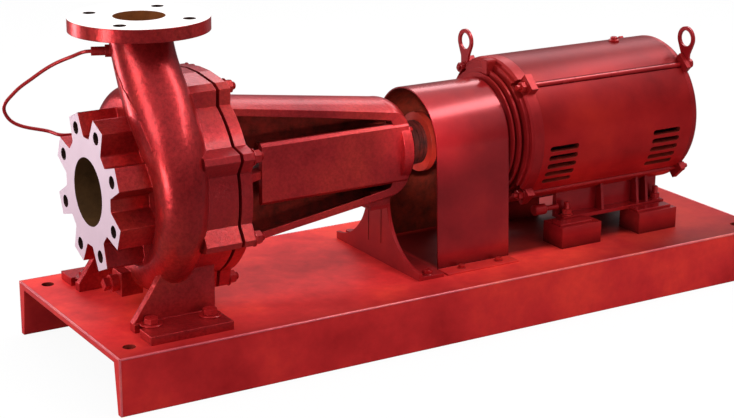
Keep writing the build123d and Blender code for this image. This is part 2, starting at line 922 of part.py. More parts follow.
with BuildPart() as neck_fitting:
    with BuildSketch(neck_tap.offset(neck_tap_reach)):
        Circle(fitting_r)
    extrude(amount=fitting_length)
save(neck_fitting, "neck_fitting")

with BuildPart() as wall_fitting:
    with BuildSketch(across(wall_tap_x)):
        with Locations((wall_tap_y, wall_tap_z)):
            Circle(fitting_r)
    extrude(amount=-fitting_length)
save(wall_fitting, "wall_fitting")


# Drain plug: square head and collar against the boss
with BuildPart() as drain_plug:
    with BuildSketch(across(drain_x)):
        with Locations((0, drain_z)):
            Circle(13)
    extrude(amount=-12)
    with BuildSketch(across(drain_x - 12)):
        with Locations((0, drain_z)):
            Rectangle(14, 14, rotation=45)
    extrude(amount=-10)
save(drain_plug, "drain_plug")


# Rotor: impeller, shafts and coupling
with BuildPart() as impeller:
    with BuildSketch(across(suction_x + 77)):
        for k in range(vane_count):
            turn = 360 / vane_count * k + 3
            with BuildLine():
                ThreePointArc(polar(20, turn), polar(52, turn + 16), polar(impeller_r - 2, turn + 48))
                Line(polar(impeller_r - 2, turn + 48), polar(impeller_r - 2, turn + 52))
                ThreePointArc(polar(impeller_r - 2, turn + 52), polar(52, turn + 22), polar(20, turn + 14))
                Line(polar(20, turn + 14), polar(20, turn))
            make_face()
    extrude(amount=27)
    with BuildSketch(side_plane):
        with BuildLine():
            Polyline(
                (suction_x + 76, 0),
                (suction_x + 80, 22),
                (suction_x + 98, 40),
                (suction_x + 102, impeller_r),
                (suction_x + 108, impeller_r),
                (suction_x + 110, 26),
                (suction_x + 112, 26),
                (suction_x + 112, 0),
                close=True,
            )
        make_face()
    revolve(axis=shaft_axis)
    with BuildSketch(side_plane):
        with BuildLine():
            Polyline(
                (suction_x + 73.5, 46),
                (suction_x + 73.5, impeller_r),
                (suction_x + 79, impeller_r),
                (suction_x + 79, 46),
                close=True,
            )
        make_face()
    revolve(axis=shaft_axis)
    with BuildSketch(across(suction_x + 90)):
        Circle(impeller_bore_r)
    extrude(amount=30, mode=Mode.SUBTRACT)
save(impeller, "impeller")

with BuildPart() as pump_shaft:
    with BuildSketch(side_plane):
        with BuildLine():
            Polyline(
                (suction_x + 90, 0),
                (suction_x + 90, impeller_bore_r),
                (suction_x + 112, impeller_bore_r),
                (suction_x + 112, shaft_r),
                (suction_x + 594, shaft_r),
                (suction_x + 594, 0),
                close=True,
            )
        make_face()
    revolve(axis=shaft_axis)
save(pump_shaft, "pump_shaft")


def coupling_half(x_face, direction):
    # x_face is where the sleeve starts; the grooved hub points away from it
    with BuildPart() as half:
        with BuildSketch(side_plane):
            with BuildLine():
                Polyline(
                    (x_face, shaft_r),
                    (x_face, coupling_disc_r),
                    (x_face - direction * coupling_disc_t, coupling_disc_r),
                    (x_face - direction * coupling_disc_t, coupling_hub_r),
                    (x_face - direction * 15, coupling_hub_r),
                    (x_face - direction * 15, coupling_groove_r),
                    (x_face - direction * 18, coupling_groove_r),
                    (x_face - direction * 18, coupling_hub_r),
                    (x_face - direction * 23, coupling_hub_r),
                    (x_face - direction * 23, coupling_groove_r),
                    (x_face - direction * 26, coupling_groove_r),
                    (x_face - direction * 26, coupling_hub_r),
                    (x_face - direction * coupling_half_length, coupling_hub_r),
                    (x_face - direction * coupling_half_length, shaft_r),
                    close=True,
                )
            make_face()
        revolve(axis=shaft_axis)
    return half


coupling_hub_pump = coupling_half(pump_disc_x, 1)
save(coupling_hub_pump, "coupling_hub_pump")
coupling_hub_motor = coupling_half(motor_disc_x, -1)
save(coupling_hub_motor, "coupling_hub_motor")
with BuildPart() as coupling_element:
    with BuildSketch(across(pump_disc_x)):
        Circle(sleeve_r)
        Circle(shaft_r + 6, mode=Mode.SUBTRACT)
    extrude(amount=motor_disc_x - pump_disc_x)
save(coupling_element, "coupling_element")

with BuildPart() as motor_shaft:
    with BuildSketch(across(suction_x + 606)):
        Circle(shaft_r)
    extrude(amount=motor_end_x - 14 - (suction_x + 606))
save(motor_shaft, "motor_shaft")
with BuildPart() as motor_rotor:
    with BuildSketch(across(core_x0)):
        Circle(rotor_r)
        Circle(shaft_r, mode=Mode.SUBTRACT)
    extrude(amount=core_x1 - core_x0)
save(motor_rotor, "motor_rotor")
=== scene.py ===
import math
import random

import bmesh
import bpy
from mathutils import Matrix, Vector


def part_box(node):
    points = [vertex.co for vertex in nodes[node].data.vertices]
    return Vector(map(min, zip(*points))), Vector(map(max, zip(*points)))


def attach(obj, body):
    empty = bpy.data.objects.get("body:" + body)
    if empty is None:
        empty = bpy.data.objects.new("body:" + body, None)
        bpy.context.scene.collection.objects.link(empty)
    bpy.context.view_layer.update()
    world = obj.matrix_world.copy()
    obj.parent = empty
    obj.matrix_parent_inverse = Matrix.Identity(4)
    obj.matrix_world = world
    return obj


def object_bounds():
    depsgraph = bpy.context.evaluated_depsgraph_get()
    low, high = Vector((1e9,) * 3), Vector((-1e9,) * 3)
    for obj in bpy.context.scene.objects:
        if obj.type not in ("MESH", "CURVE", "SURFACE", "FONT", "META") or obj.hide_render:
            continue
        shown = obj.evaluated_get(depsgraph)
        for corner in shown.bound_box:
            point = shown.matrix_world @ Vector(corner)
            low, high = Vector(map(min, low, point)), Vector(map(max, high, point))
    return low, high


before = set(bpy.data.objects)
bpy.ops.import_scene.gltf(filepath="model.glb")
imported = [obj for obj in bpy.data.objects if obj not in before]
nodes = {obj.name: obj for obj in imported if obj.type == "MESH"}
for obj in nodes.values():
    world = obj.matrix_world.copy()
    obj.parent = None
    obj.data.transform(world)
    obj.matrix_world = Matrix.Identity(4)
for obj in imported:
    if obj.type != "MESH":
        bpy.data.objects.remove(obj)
cad_low, cad_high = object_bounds()

mm = 0.001
fixed_body = "frame"
turning_body = "rotor"

# Driving places: the shaft axis, the suction face and the top of the base.
shaft_height = 0.2724
suction_x = -0.542
base_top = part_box("baseplate")[1].z


def along(x, y, z):
    """A place given in millimetres from the suction face, across, and above the shaft axis."""
    return Vector((suction_x + x * mm, y * mm, shaft_height + z * mm))


def around(x, radius, degrees):
    """A place on a circle about the shaft: degrees from the top towards the near side."""
    turn = math.radians(degrees)
    return along(x, -radius * math.sin(turn), radius * math.cos(turn))


# Camera at the photograph's place.
def make_camera():
    eye = Vector((-1.50397, -2.35292, 1.02252))
    right = Vector((0.85468, -0.51912, 0.00546))
    up = Vector((0.14840, 0.25438, 0.95565))
    back = right.cross(up)
    data = bpy.data.cameras.new("camera")
    data.sensor_width = 36.0
    data.lens = 88.87
    data.clip_start = 0.05
    data.clip_end = 60.0
    camera = bpy.data.objects.new("camera", data)
    turn = Matrix((right, up, back)).transposed().to_4x4()
    camera.matrix_world = Matrix.Translation(eye) @ turn
    bpy.context.scene.collection.objects.link(camera)
    bpy.context.scene.camera = camera


make_camera()


# Materials.
def new_material(name):
    material = bpy.data.materials.new(name)
    material.use_nodes = True
    tree = material.node_tree
    shader = tree.nodes["Principled BSDF"]
    return material, tree, shader


def noise(tree, scale, detail=4.0, roughness=0.5):
    """Noise in the object's own space, which is the row frame in metres."""
    place = tree.nodes.new("ShaderNodeTexCoord")
    node = tree.nodes.new("ShaderNodeTexNoise")
    node.inputs["Scale"].default_value = scale
    node.inputs["Detail"].default_value = detail
    node.inputs["Roughness"].default_value = roughness
    tree.links.new(place.outputs["Object"], node.inputs["Vector"])
    return node.outputs["Fac"]


def ramp(tree, value, stops):
    """A colour ramp over value: stops is a list of (position, colour)."""
    node = tree.nodes.new("ShaderNodeValToRGB")
    elements = node.color_ramp.elements
    while len(elements) < len(stops):
        elements.new(0.5)
    for element, (position, colour) in zip(elements, stops):
        element.position = position
        element.color = (*colour, 1.0)
    tree.links.new(value, node.inputs["Fac"])
    return node.outputs["Color"]


def multiply(tree, one, other):
    node = tree.nodes.new("ShaderNodeMix")
    node.data_type = "RGBA"
    node.blend_type = "MULTIPLY"
    node.inputs["Factor"].default_value = 1.0
    tree.links.new(one, node.inputs["A"])
    tree.links.new(other, node.inputs["B"])
    return node.outputs["Result"]


def bumps(tree, shader, layers, edge=0.0):
    """Chains bump nodes: layers is a list of (height socket, distance in metres, strength).
    edge is the radius in metres to which sharp edges look rounded."""
    normal = None
    if edge > 0:
        bevel = tree.nodes.new("ShaderNodeBevel")
        bevel.samples = 6
        bevel.inputs["Radius"].default_value = edge
        normal = bevel.outputs["Normal"]
    for height, distance, strength in layers:
        node = tree.nodes.new("ShaderNodeBump")
        node.inputs["Distance"].default_value = distance
        node.inputs["Strength"].default_value = strength
        tree.links.new(height, node.inputs["Height"])
        if normal is not None:
            tree.links.new(normal, node.inputs["Normal"])
        normal = node.outputs["Normal"]
    tree.links.new(normal, shader.inputs["Normal"])


red_deep = (0.29, 0.006, 0.008)
red_mid = (0.42, 0.012, 0.014)
red_warm = (0.57, 0.024, 0.018)


def make_paint(name, grain, grain_depth, gloss, edge, shine, mottle, metal, tint):
    """Red enamel. grain is the size of the surface under it: fine on sheet, coarse on castings.
    shine is the weight of the clear coat, 0 on the duller parts and below 0 on the dullest. mottle is how dark the
    pits of that surface are, and metal how far its reflections take its own red."""
    material, tree, shader = new_material(name)
    deep, mid, warm = (
        tuple(c * t for c, t in zip(red, tint)) for red in (red_deep, red_mid, red_warm)
    )
    cloud = noise(tree, 6.0, 8.0, 0.62)
    colour = ramp(tree, cloud, [(0.34, deep), (0.50, mid), (0.68, warm)])
    fine = noise(tree, grain * 1.3, 8.0, 0.75)
    speckle = ramp(tree, fine, [(0.38, (1.0 - mottle,) * 3), (0.58, (1.0,) * 3)])
    tree.links.new(multiply(tree, colour, speckle), shader.inputs["Base Color"])
    patches = noise(tree, 18.0, 5.0, 0.6)
    sheen = ramp(tree, patches, [(0.25, (gloss,) * 3), (0.75, (gloss + 0.2 * mottle,) * 3)])
    tree.links.new(sheen, shader.inputs["Roughness"])
    shader.inputs["Metallic"].default_value = metal
    shader.inputs["Specular IOR Level"].default_value = 0.25 + 0.5 * shine
    shader.inputs["Coat Weight"].default_value = max(0.0, shine)
    shader.inputs["Coat Roughness"].default_value = 0.16
    shader.inputs["Coat Tint"].default_value = (1.0, 0.72, 0.80, 1.0)
    shader.inputs["Specular Tint"].default_value = (1.0, 0.55, 0.62, 1.0)
    bumps(
        tree,
        shader,
        [
            (noise(tree, grain, 6.0, 0.6), grain_depth, 0.55),
            (noise(tree, 420.0, 2.0, 0.5), 0.00012, 0.35),
        ],
        edge,
    )
    return material


def fade_along(material, axis, start, end, least):
    """Darkens the paint from end towards start along an axis of the row frame."""
    tree = material.node_tree
    shader = tree.nodes["Principled BSDF"]
    before = shader.inputs["Base Color"].links[0].from_socket
    place = tree.nodes.new("ShaderNodeTexCoord")
    parts = tree.nodes.new("ShaderNodeSeparateXYZ")
    tree.links.new(place.outputs["Object"], parts.inputs[0])
    range_node = tree.nodes.new("ShaderNodeMapRange")
    range_node.inputs["From Min"].default_value = start
    range_node.inputs["From Max"].default_value = end
    tree.links.new(parts.outputs[axis], range_node.inputs["Value"])
    shade = ramp(tree, range_node.outputs["Result"], [(0.0, (least,) * 3), (1.0, (1.0,) * 3)])
    tree.links.new(multiply(tree, before, shade), shader.inputs["Base Color"])


def arithmetic(tree, operation, one, other=None):
    """One sum of two values, each a socket or a number."""
    node = tree.nodes.new("ShaderNodeMath")
    node.operation = operation
    for k, value in enumerate((one, other)):
        if isinstance(value, (int, float)):
            node.inputs[k].default_value = value
        elif value is not None:
            tree.links.new(value, node.inputs[k])
    return node.outputs["Value"]


def shade_patch(material, middle, half, soft, least):
    """Painted shade on the deck inside a rectangle seen from above, fading out over soft metres."""
    tree = material.node_tree
    shader = tree.nodes["Principled BSDF"]
    before = shader.inputs["Base Color"].links[0].from_socket
    place = tree.nodes.new("ShaderNodeTexCoord")
    parts = tree.nodes.new("ShaderNodeSeparateXYZ")
    tree.links.new(place.outputs["Object"], parts.inputs[0])
    beyond = []
    for axis, centre, reach in zip("XY", middle, half):
        off = arithmetic(tree, "SUBTRACT", parts.outputs[axis], centre)
        beyond.append(arithmetic(tree, "SUBTRACT", arithmetic(tree, "ABSOLUTE", off), reach))
    outside = arithmetic(tree, "MAXIMUM", *beyond)
    range_node = tree.nodes.new("ShaderNodeMapRange")
    range_node.inputs["From Min"].default_value = -soft
    range_node.inputs["From Max"].default_value = 0.0
    tree.links.new(outside, range_node.inputs["Value"])
    shade = ramp(tree, range_node.outputs["Result"], [(0.0, (least,) * 3), (1.0, (1.0,) * 3)])
    tree.links.new(multiply(tree, before, shade), shader.inputs["Base Color"])


def make_shade_paint(name, deep, light):
    """Thin dull dark paint, mottled with bare dark metal. In recesses its darkness is painted shade."""
    material, tree, shader = new_material(name)
    cloud = noise(tree, 55.0, 10.0, 0.75)
    colour = ramp(tree, cloud, [(0.36, deep), (0.62, light)])
    tree.links.new(colour, shader.inputs["Base Color"])
    patches = noise(tree, 90.0, 5.0, 0.6)
    sheen = ramp(tree, patches, [(0.3, (0.5,) * 3), (0.7, (0.7,) * 3)])
    tree.links.new(sheen, shader.inputs["Roughness"])
    shader.inputs["Specular IOR Level"].default_value = 0.2
    bumps(tree, shader, [(noise(tree, 170.0, 6.0, 0.7), 0.0008, 0.6)], 0.0006)
    return material


def make_metal(name, colour, roughness, streaks, metallic):
    """Machined metal with fine turning marks."""
    material, tree, shader = new_material(name)
    cloud = noise(tree, 14.0, 5.0, 0.6)
    dark = tuple(c * 0.93 for c in colour)
    tree.links.new(
        ramp(tree, cloud, [(0.3, dark), (0.65, colour)]), shader.inputs["Base Color"]
    )
    patches = noise(tree, 60.0, 4.0, 0.6)
    finish = ramp(
        tree, patches, [(0.3, (roughness,) * 3), (0.7, (roughness + 0.15,) * 3)]
    )
    tree.links.new(finish, shader.inputs["Roughness"])
    shader.inputs["Metallic"].default_value = metallic
    bumps(tree, shader, [(noise(tree, streaks, 3.0, 0.6), 0.00008, 0.4)])
    return material


def make_dark(name, deep, light, roughness):
    """Unpainted iron, rubber or the inside of a passage: dark, mottled and dull."""
    material, tree, shader = new_material(name)
    cloud = noise(tree, 40.0, 8.0, 0.7)
    colour = ramp(tree, cloud, [(0.3, deep), (0.7, light)])
    tree.links.new(colour, shader.inputs["Base Color"])
    shader.inputs["Roughness"].default_value = roughness
    shader.inputs["Specular IOR Level"].default_value = 0.2
    bumps(tree, shader, [(noise(tree, 150.0, 6.0, 0.7), 0.0006, 0.6)])
    return material


cast_paint = make_paint("cast_paint", 130.0, 0.0010, 0.27, 0.0022, 0.12, 0.35, 0.66, (0.98, 1.8, 1.7))
ring_paint = make_paint("ring_paint", 150.0, 0.0009, 0.30, 0.0016, 0.24, 0.30, 0.50, (0.98, 1.5, 1.5))
sheet_paint = make_paint("sheet_paint", 24.0, 0.00015, 0.20, 0.0008, 0.30, 0.05, 0.30, (0.66, 0.7, 0.8))
shell_paint = make_paint("shell_paint", 20.0, 0.00015, 0.34, 0.0010, 0.0, 0.05, 0.35, (1.1, 1.0, 0.9))
bell_paint = make_paint("bell_paint", 90.0, 0.0004, 0.34, 0.0014, 0.05, 0.10, 0.35, (0.74, 0.9, 0.9))
base_paint = make_paint("base_paint", 46.0, 0.00035, 0.46, 0.0022, 0.0, 0.08, 0.0, (1.15, 1.4, 1.3))
# The deck is a lighter copy of the base paint: painted light on the top of the channel.
deck_painted_light = make_paint("deck_painted_light", 46.0, 0.00035, 0.50, 0.0022, -0.25, 0.08, 0.0, (2.0, 3.0, 2.6))
foot_paint = make_paint("foot_paint", 30.0, 0.0002, 0.42, 0.0010, 0.0, 0.10, 0.2, (0.8, 0.9, 0.9))
bolt_paint = make_paint("bolt_paint", 300.0, 0.0003, 0.26, 0.0005, 0.25, 0.15, 0.3, (0.85, 0.9, 0.9))
eye_paint = make_paint("eye_paint", 90.0, 0.0004, 0.28, 0.0010, 0.25, 0.15, 0.2, (0.9, 0.9, 1.1))
# A bright pink paint that is a painted highlight on the channel's edges.
edge_highlight_paint = make_paint("edge_highlight_paint", 60.0, 0.0003, 0.30, 0.0, 0.6, 0.15, 0.2, (1.45, 9.0, 9.0))
# The coupling discs are a brighter red that is painted light.
disc_painted_light = make_paint("disc_painted_light", 60.0, 0.0003, 0.34, 0.0006, 0.1, 0.1, 0.1, (1.75, 4.0, 2.0))
# Painted light and shade on the deck: darker toward the near edge and toward the motor end.
fade_along(deck_painted_light, "Y", -0.185, -0.08, 0.45)
fade_along(deck_painted_light, "X", 0.42, 0.20, 0.45)
# Painted shade on the sheet parts within a few centimetres of the base.
fade_along(sheet_paint, "Z", base_top + 0.002, base_top + 0.022, 0.35)
# Painted shade on the deck under the guard and the motor.
shade_patch(deck_painted_light, (0.245, 0.0), (0.250, 0.100), 0.02, 0.22)
# Painted shade on the crown of the motor shell, darkest at the top.
fade_along(shell_paint, "Z", 0.39, 0.21, 0.36)
# Painted shade on the upper part of the coupling discs.
fade_along(disc_painted_light, "Z", shaft_height + 0.008, shaft_height - 0.03, 0.35)
# Painted shade: the dark paint for recesses, creases, louvres, anchor holes and the space between the bracket's arms.
recess_shade_paint = make_shade_paint("recess_shade_paint", (0.08, 0.008, 0.004), (0.26, 0.016, 0.010))
# Painted shade on the inside of the guard.
guard_inside_shade = make_shade_paint("guard_inside_shade", (0.07, 0.009, 0.004), (0.22, 0.018, 0.008))
hub_dark = make_shade_paint("hub_dark", (0.02, 0.004, 0.003), (0.09, 0.008, 0.006))
face_metal = make_metal("face_metal", (0.61, 0.43, 0.51), 0.42, 700.0, 0.15)
bright_face = make_metal("bright_face", (0.97, 0.91, 0.90), 0.40, 700.0, 0.1)
steel = make_metal("steel", (0.52, 0.50, 0.50), 0.28, 500.0, 0.6)
bronze = make_metal("bronze", (0.36, 0.20, 0.09), 0.40, 300.0, 0.6)
passage_iron = make_dark("passage_iron", (0.050, 0.022, 0.006), (0.10, 0.045, 0.014), 0.72)
bore_rust = make_dark("bore_rust", (0.16, 0.045, 0.010), (0.27, 0.080, 0.016), 0.75)
core_iron = make_dark("core_iron", (0.02, 0.012, 0.011), (0.06, 0.03, 0.027), 0.6)
rubber = make_dark("rubber", (0.012, 0.008, 0.008), (0.035, 0.016, 0.015), 0.55)
hole_dark = make_dark("hole_dark", (0.012, 0.006, 0.005), (0.05, 0.014, 0.010), 0.7)


def dress(name, *materials):
    """Gives a CAD node its materials. The first one covers it all to start with."""
    node = nodes[name]
    node.data.materials.clear()
    for material in materials:
        node.data.materials.append(material)
    for polygon in node.data.polygons:
        polygon.material_index = 0
    return node


def cover(node, index, wanted):
    """Gives a material to the polygons of a CAD node for which wanted(centre, normal) is true."""
    for polygon in node.data.polygons:
        if wanted(polygon.center, polygon.normal):
            polygon.material_index = index


def out_from_shaft(centre, normal):
    """How far a polygon faces away from the shaft axis: 1 straight out, -1 straight in."""
    y = centre.y
    z = centre.z - shaft_height
    length = math.hypot(y, z)
    if length < 1e-6:
        return 0.0
    return (y * normal.y + z * normal.z) / length


def dress_casing():
    """The casing is bare on its machined faces and rusty brown in its passages."""
    casing = dress("pump_casing", cast_paint, face_metal, bright_face, passage_iron, bore_rust, hole_dark, ring_paint)
    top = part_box("pump_casing")[1].z
    neck_x = suction_x + 88.9 * mm
    hole_ring = 0.5 * 190.5 * mm

    def on_suction_face(centre, normal):
        low = abs(centre.z - shaft_height) < 130 * mm
        return low and centre.x < suction_x + 0.2 * mm and normal.x < -0.9

    def on_discharge_face(centre, normal):
        return centre.z > top - 0.2 * mm and normal.z > 0.9

    def in_suction_bore(centre, normal):
        down = math.hypot(centre.y, centre.z - shaft_height)
        in_bore = down < 53 * mm and out_from_shaft(centre, normal) < -0.1
        return centre.x < suction_x + 110 * mm and (in_bore or (down < 100 * mm and centre.x > suction_x + 66 * mm))

    def in_discharge_bore(centre, normal):
        side = math.hypot(centre.x - neck_x, centre.y)
        facing = (centre.x - neck_x) * normal.x + centre.y * normal.y
        return centre.z > top - 90 * mm and side < 45 * mm and facing < 0

    def in_flange_hole(centre, normal):
        if centre.z > top - 20.5 * mm and abs(normal.z) < 0.2:
            out = math.hypot(centre.x - neck_x, centre.y)
            return abs(out - 76.2 * mm) < 10.5 * mm
        if centre.x > suction_x + 28.5 * mm or abs(normal.x) > 0.99 and centre.x < suction_x + 0.2 * mm:
            return False
        for k in range(8):
            hole = around(0, 95.25, 22.5 + 45 * k)
            if math.hypot(centre.y - hole.y, centre.z - hole.z) < 9.6 * mm:
                return True
        return False

    def on_ring(centre, normal):
        return centre.x > suction_x + 126 * mm

    cover(casing, 6, on_ring)
    cover(casing, 3, in_suction_bore)
    cover(casing, 4, in_discharge_bore)
    cover(casing, 5, in_flange_hole)
    cover(casing, 1, on_suction_face)
    cover(casing, 2, on_discharge_face)


def dress_bracket():
    """The bracket is glossy outside, and dull, mottled and dark with painted shade between its arms."""
    bracket = dress("bearing_bracket", ring_paint, recess_shade_paint)

    def between_arms(centre, normal):
        x = (centre.x - suction_x) / mm
        y = abs(centre.y) / mm
        z = abs(centre.z - shaft_height) / mm
        if x < 191.5 or x > 503:
            return False
        if out_from_shaft(centre, normal) < -0.2:
            return True
        cap_r = 120.2 - (x - 191) * 0.129
        return math.hypot(y, z) < cap_r - 11 and y < 39.5

    cover(bracket, 1, between_arms)


def dress_guard():
    """The guard is painted inside too, but dull and dark there with painted shade."""
    guard = dress("coupling_guard", sheet_paint, guard_inside_shade, base_paint)

    def inside(centre, normal):
        y = abs(centre.y) / mm
        inner = 88.0 + (96.0 - 88.0) * max(0.0, shaft_height - centre.z) / (shaft_height - base_top)
        return abs(normal.x) < 0.5 and out_from_shaft(centre, normal) < -0.2 and y < inner + 1.2

    cover(guard, 1, inside)
    # The guard's foot flange takes the base's paint, clear of that painted shade.
    cover(guard, 2, lambda centre, normal: centre.z < base_top + 2.6 * mm)


def dress_shell():
    """Inside the louvres the shell is dark with painted shade."""
    shell = dress("motor_shell", shell_paint, recess_shade_paint)

    def in_slots(centre, normal):
        out = math.hypot(centre.y, centre.z - shaft_height)
        return out < 121.3 * mm and out_from_shaft(centre, normal) < 0.5 and abs(normal.x) < 0.999

    cover(shell, 1, in_slots)


def dress_coupling():
    """Dark hubs with a disc face toward the pump painted bright as painted light."""
    for name in ["coupling_hub_pump", "coupling_hub_motor"]:
        half = dress(name, hub_dark, disc_painted_light)
        cover(half, 1, lambda centre, normal: math.hypot(centre.y, centre.z - shaft_height) > 35.5 * mm)


def dress_base():
    base = dress("baseplate", base_paint, recess_shade_paint, deck_painted_light)

    def in_anchor_hole(centre, normal):
        return abs(normal.z) < 0.3 and base_top - 11 * mm < centre.z < base_top - 0.1 * mm and (
            abs(centre.y) < 180 * mm and abs(centre.x - 13 * mm) < 590 * mm
        )

    # The top faces take the deck paint with its painted light.
    cover(base, 2, lambda centre, normal: normal.z > 0.9 and centre.z > base_top - 1 * mm)
    # Painted shade inside the anchor holes.
    cover(base, 1, in_anchor_hole)


for name in ["bearing_cover", "neck_fitting", "wall_fitting"]:
    dress(name, ring_paint)
for name in ["motor_front_bell", "motor_rear_bell"]:
    dress(name, bell_paint)
for name in ["drain_plug", "tie_rod_1", "tie_rod_2", "tie_rod_3", "tie_rod_4", "vent_tube"]:
    dress(name, bolt_paint)
dress("support_foot", foot_paint)
for name in ["terminal_box", "foot_rail_near", "foot_rail_far"]:
    dress(name, sheet_paint)
for name in ["block_near_front", "block_near_rear", "block_far_front", "block_far_rear"]:
    dress(name, sheet_paint)
for name in ["lifting_eye_front", "lifting_eye_rear"]:
    dress(name, eye_paint)
# The casing cover, inside the casing, is dark with painted shade.
dress("casing_cover", recess_shade_paint)
dress("impeller", bronze)
dress("pump_shaft", steel)
dress("motor_shaft", steel)
dress("motor_rotor", core_iron)
dress("stator_core", core_iron)
dress("coupling_element", rubber)
dress_casing()
dress_bracket()
dress_guard()
dress_shell()
dress_coupling()
dress_base()


# Small fasteners.
def turn_to(axis):
    """A rotation that takes +Z to axis."""
    return Vector(axis).normalized().to_track_quat("Z", "Y").to_matrix().to_4x4()


def add_ring_stack(mesh, rings, place):
    """Joins rings of equal length into a closed skin with flat ends, moved to place."""
    made = [[mesh.verts.new(place @ Vector(p)) for p in ring] for ring in rings]
    count = len(made[0])
    for low, high in zip(made, made[1:]):
        for k in range(count):
            after = (k + 1) % count
            mesh.faces.new((low[k], low[after], high[after], high[k]))
    mesh.faces.new(list(reversed(made[0])))
    mesh.faces.new(made[-1])


def circle(radius, height, count=24):
    step = 2 * math.pi / count
    return [
        (radius * math.cos(k * step), radius * math.sin(k * step), height)
        for k in range(count)
    ]


def hexagon(flats, height, chamfer, count=24):
    """A hexagon as count points, cut down by the cone that chamfers a nut's corners."""
    ring = []
    for k in range(count):
        angle = 2 * math.pi * k / count
        off_flat = (angle + math.pi / 6) % (math.pi / 3) - math.pi / 6
        radius = flats / 2 / math.cos(off_flat)
        drop = max(0.0, radius - flats * 0.49) * chamfer
        ring.append((radius * math.cos(angle), radius * math.sin(angle), height - drop))
    return ring


def add_washer(mesh, place, bolt, wide):
    radius = bolt * wide
    thick = bolt * 0.16
    edge = thick * 0.25
    rings = [
        circle(radius - edge, 0),
        circle(radius, edge),
        circle(radius, thick - edge),
        circle(radius - edge, thick),
    ]
    add_ring_stack(mesh, rings, place)
    return place @ Matrix.Translation((0, 0, thick))


def add_hex(mesh, place, bolt, thick):
    """A hexagon head or nut with chamfered corners and a washer face."""
    flats = bolt * 1.5
    rings = [
        circle(flats * 0.47, 0),
        circle(flats * 0.47, thick * 0.06),
        hexagon(flats, thick * 0.07, 0),
        hexagon(flats, thick, 0.58),
        circle(flats * 0.46, thick),
    ]
    add_ring_stack(mesh, rings, place)
    return place @ Matrix.Translation((0, 0, thick))


def add_thread(mesh, place, bolt, length):
    """The end of a bolt: ridges at the thread's pitch and a chamfered point."""
    pitch = bolt * 0.14
    turns = max(1, int(length / pitch))
    rings = [circle(bolt * 0.45, 0, 16)]
    for k in range(turns):
        rings.append(circle(bolt * 0.5, (k + 0.5) * pitch, 16))
        rings.append(circle(bolt * 0.44, (k + 1.0) * pitch, 16))
    rings.append(circle(bolt * 0.36, turns * pitch + bolt * 0.08, 16))
    add_ring_stack(mesh, rings, place)


def fasteners(name, places, bolt, kind, material, wide=1.05):
    """One piece with a fastener at each (place, axis): a head, a nut with a short or long
    thread above it, a nut open for the rod that is there already, or a bare cap head."""
    mesh = bmesh.new()
    random.seed(name)
    for where, axis in places:
        spin = Matrix.Rotation(random.uniform(0, math.pi / 3), 4, "Z")
        place = Matrix.Translation(where) @ turn_to(axis) @ spin
        if kind != "cap":
            place = add_washer(mesh, place, bolt, wide)
        if kind in ("nut", "stud", "open"):
            place = add_hex(mesh, place, bolt, bolt * 0.85)
            if kind != "open":
                add_thread(mesh, place, bolt, bolt * (1.2 if kind == "stud" else 0.45))
        else:
            add_hex(mesh, place, bolt, bolt * 0.66)
    return finish_piece(name, mesh, material, fixed_body)


def finish_piece(name, mesh, material, body):
    bmesh.ops.recalc_face_normals(mesh, faces=mesh.faces)
    data = bpy.data.meshes.new(name)
    mesh.to_mesh(data)
    mesh.free()
    data.materials.append(material)
    piece = bpy.data.objects.new(name, data)
    bpy.context.scene.collection.objects.link(piece)
    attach(piece, body)
    return piece


bracket_back = 191.0
ring_turns = [22.5 + 45.0 * k for k in range(8)]
ring_nuts = [(around(bracket_back, 158, t), (1, 0, 0)) for t in ring_turns]
fasteners("casing_nuts", ring_nuts, 12 * mm, "nut", bolt_paint)

up = (0, 0, 1)
foot_top = -173.0
foot_bolts = [(along(x, side * y, foot_top), up) for side in (-1, 1) for x, y in ((40, 118), (130, 126))]
fasteners("casing_foot_bolts", foot_bolts, 13 * mm, "head", bolt_paint, 1.3)

support_bolts = [(along(512, side * 117, -180), up) for side in (-1, 1)]
fasteners("support_foot_bolts", support_bolts, 9 * mm, "head", bolt_paint)

guard_bolts = [(along(x, side * 111.5, -183.5), up) for side in (-1, 1) for x in (581, 652)]
fasteners("guard_bolts", guard_bolts, 6.5 * mm, "head", bolt_paint)

motor_bolts = [(along(x, side * 68.5, -144), up) for side in (-1, 1) for x in (819, 1008)]
fasteners("motor_foot_nuts", motor_bolts, 10 * mm, "stud", bolt_paint)

rod_turns = [43.0, 137.0, 223.0, 317.0]
front_nuts = [(around(711 if t > 300 else 715, 122, t), (-1, 0, 0)) for t in rod_turns]
fasteners("rod_nuts_front", front_nuts, 10 * mm, "open", bolt_paint)
rear_nuts = [(around(1048 if t < 60 else 1044, 122, t), (1, 0, 0)) for t in rod_turns]
fasteners("rod_nuts_rear", rear_nuts, 10 * mm, "open", bolt_paint)

cover_screws = [(around(531, 44.5, 45 + 90 * k), (1, 0, 0)) for k in range(4)]
fasteners("cover_screws", cover_screws, 5 * mm, "cap", bolt_paint)


def add_slab(mesh, low, high, edge):
    """A plate between two corners with all its edges chamfered."""
    made = bmesh.ops.create_cube(mesh, size=1.0)
    size = high - low
    middle = (high + low) / 2
    for vert in made["verts"]:
        vert.co = Vector((vert.co.x * size.x, vert.co.y * size.y, vert.co.z * size.z)) + middle
    edges = {e for v in made["verts"] for e in v.link_edges}
    bmesh.ops.bevel(mesh, geom=list(edges), offset=edge, segments=2, affect="EDGES")


